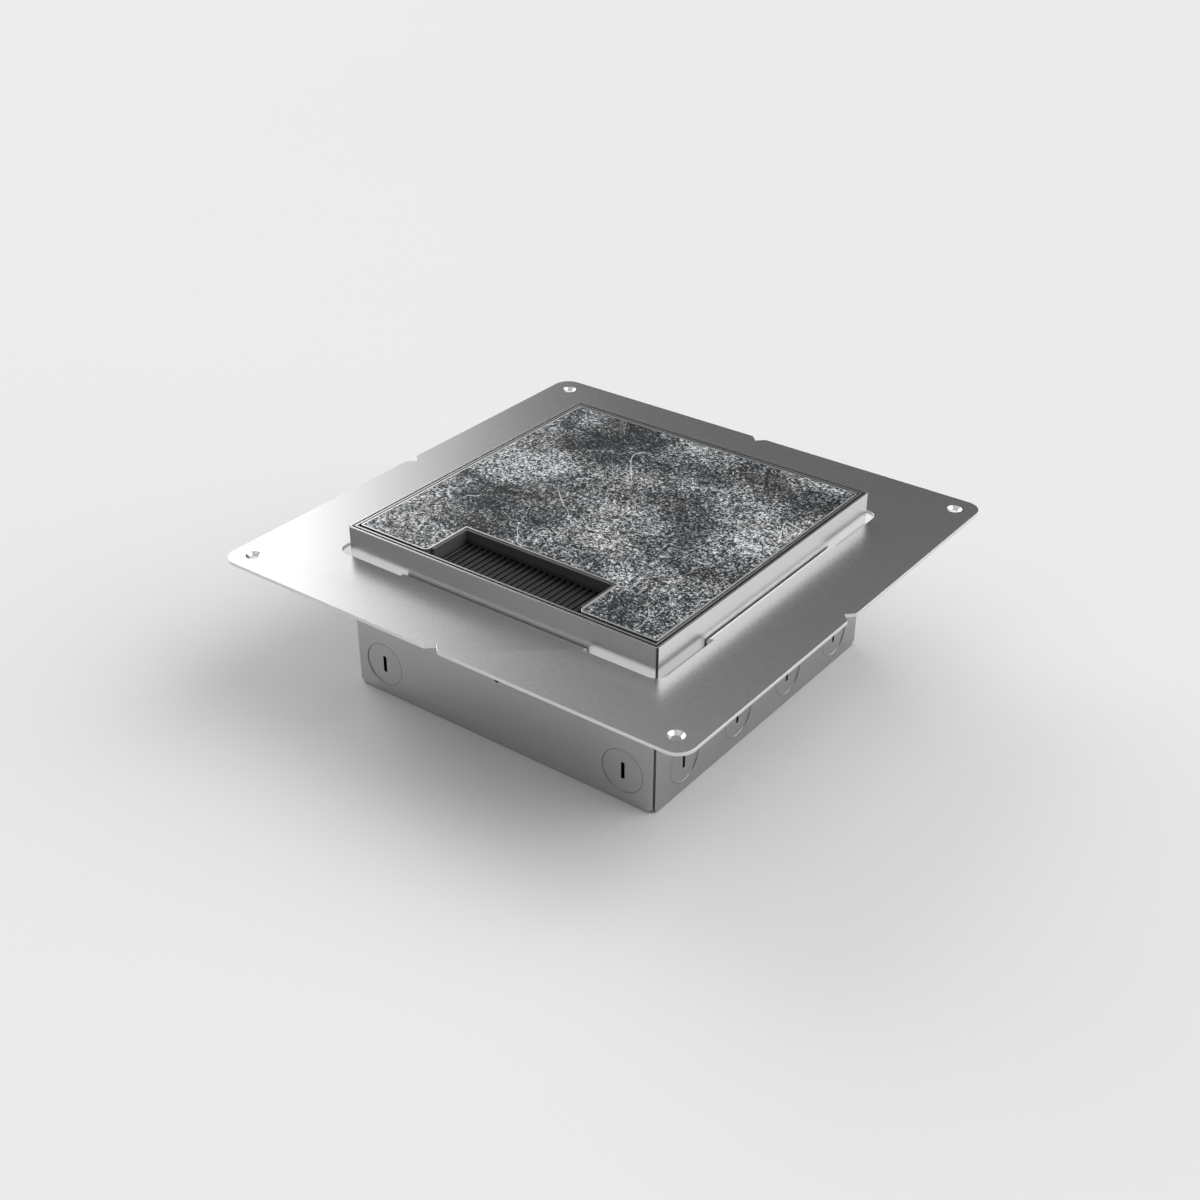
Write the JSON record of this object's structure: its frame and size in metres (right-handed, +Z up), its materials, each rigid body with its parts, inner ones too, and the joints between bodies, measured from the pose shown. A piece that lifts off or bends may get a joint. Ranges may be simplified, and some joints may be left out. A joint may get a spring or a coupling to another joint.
{
  "type": "floor socket box",
  "caption": "Flush floor socket box: folded sheet box in a levelling flange plate, with a hinged tile-filled lid, a sprung cable flap and device carriers inside.",
  "frame": {"origin": "centre of the underside of the box", "axes": "+Z up, -Y towards the cable outlet, +X to the right seen from the outlet side"},
  "size_m": [0.3, 0.3, 0.0995],
  "materials": {
    "sheet": "satin stainless sheet",
    "frame_steel": "fine brushed stainless",
    "tile": "honed dark stone with pale veins",
    "black_plastic": "fine grained black plastic",
    "seal_rubber": "matt rubber",
    "zinc": "bright zinc plating",
    "spring_steel": "drawn spring wire",
    "carrier_steel": "galvanised sheet",
    "device_white": "smooth white plastic",
    "jack_black": "moulded black plastic",
    "contact_brass": "plain brass"
  },
  "bodies": {
    "root": {"box_tray": "sheet", "lid_frame": "frame_steel", "frame_brackets": "carrier_steel", "frame_screws": "zinc", "frame_seal": "seal_rubber", "pivot_pins": "frame_steel", "carrier_left": "carrier_steel", "carrier_right": "carrier_steel", "carrier_studs": "zinc", "carrier_nuts": "zinc", "power_socket_1": "device_white", "power_socket_2": "device_white", "power_socket_3": "device_white", "power_socket_4": "device_white", "contact_sleeves": "contact_brass", "earth_clips": "spring_steel", "data_module": "device_white", "data_jacks": "jack_black", "blank_cover": "device_white", "earth_stud": "contact_brass", "earth_washer": "contact_brass", "earth_nuts": "contact_brass"},
    "plate": {"flange_plate": "sheet", "level_screws": "zinc", "level_washers": "zinc", "level_nuts": "zinc"},
    "lid": {"lid_tray": "frame_steel", "lid_infill": "tile", "lid_stiffener": "carrier_steel", "pivot_plates": "frame_steel", "outlet_insert": "black_plastic", "insert_screws": "zinc", "flap_pin": "zinc"},
    "flap": {"cable_flap": "black_plastic", "flap_spring": "spring_steel"}
  },
  "joints": [
    {"name": "plate_level", "type": "slide", "parent": "root", "child": "plate", "axis": [0, 0, 1], "range_m": [-0.0235, 0.0095]},
    {"name": "lid_hinge", "type": "hinge", "parent": "root", "child": "lid", "pos_m": [0, 0.082, 0.0945], "axis": [-1, 0, 0], "range_deg": [0, 95]},
    {"name": "flap_hinge", "type": "hinge", "parent": "lid", "child": "flap", "pos_m": [0, -0.0692, 0.087], "axis": [1, 0, 0], "range_deg": [0, 75], "stiffness_Nm_per_rad": 0.012, "springref_deg": -28.65}
  ]
}
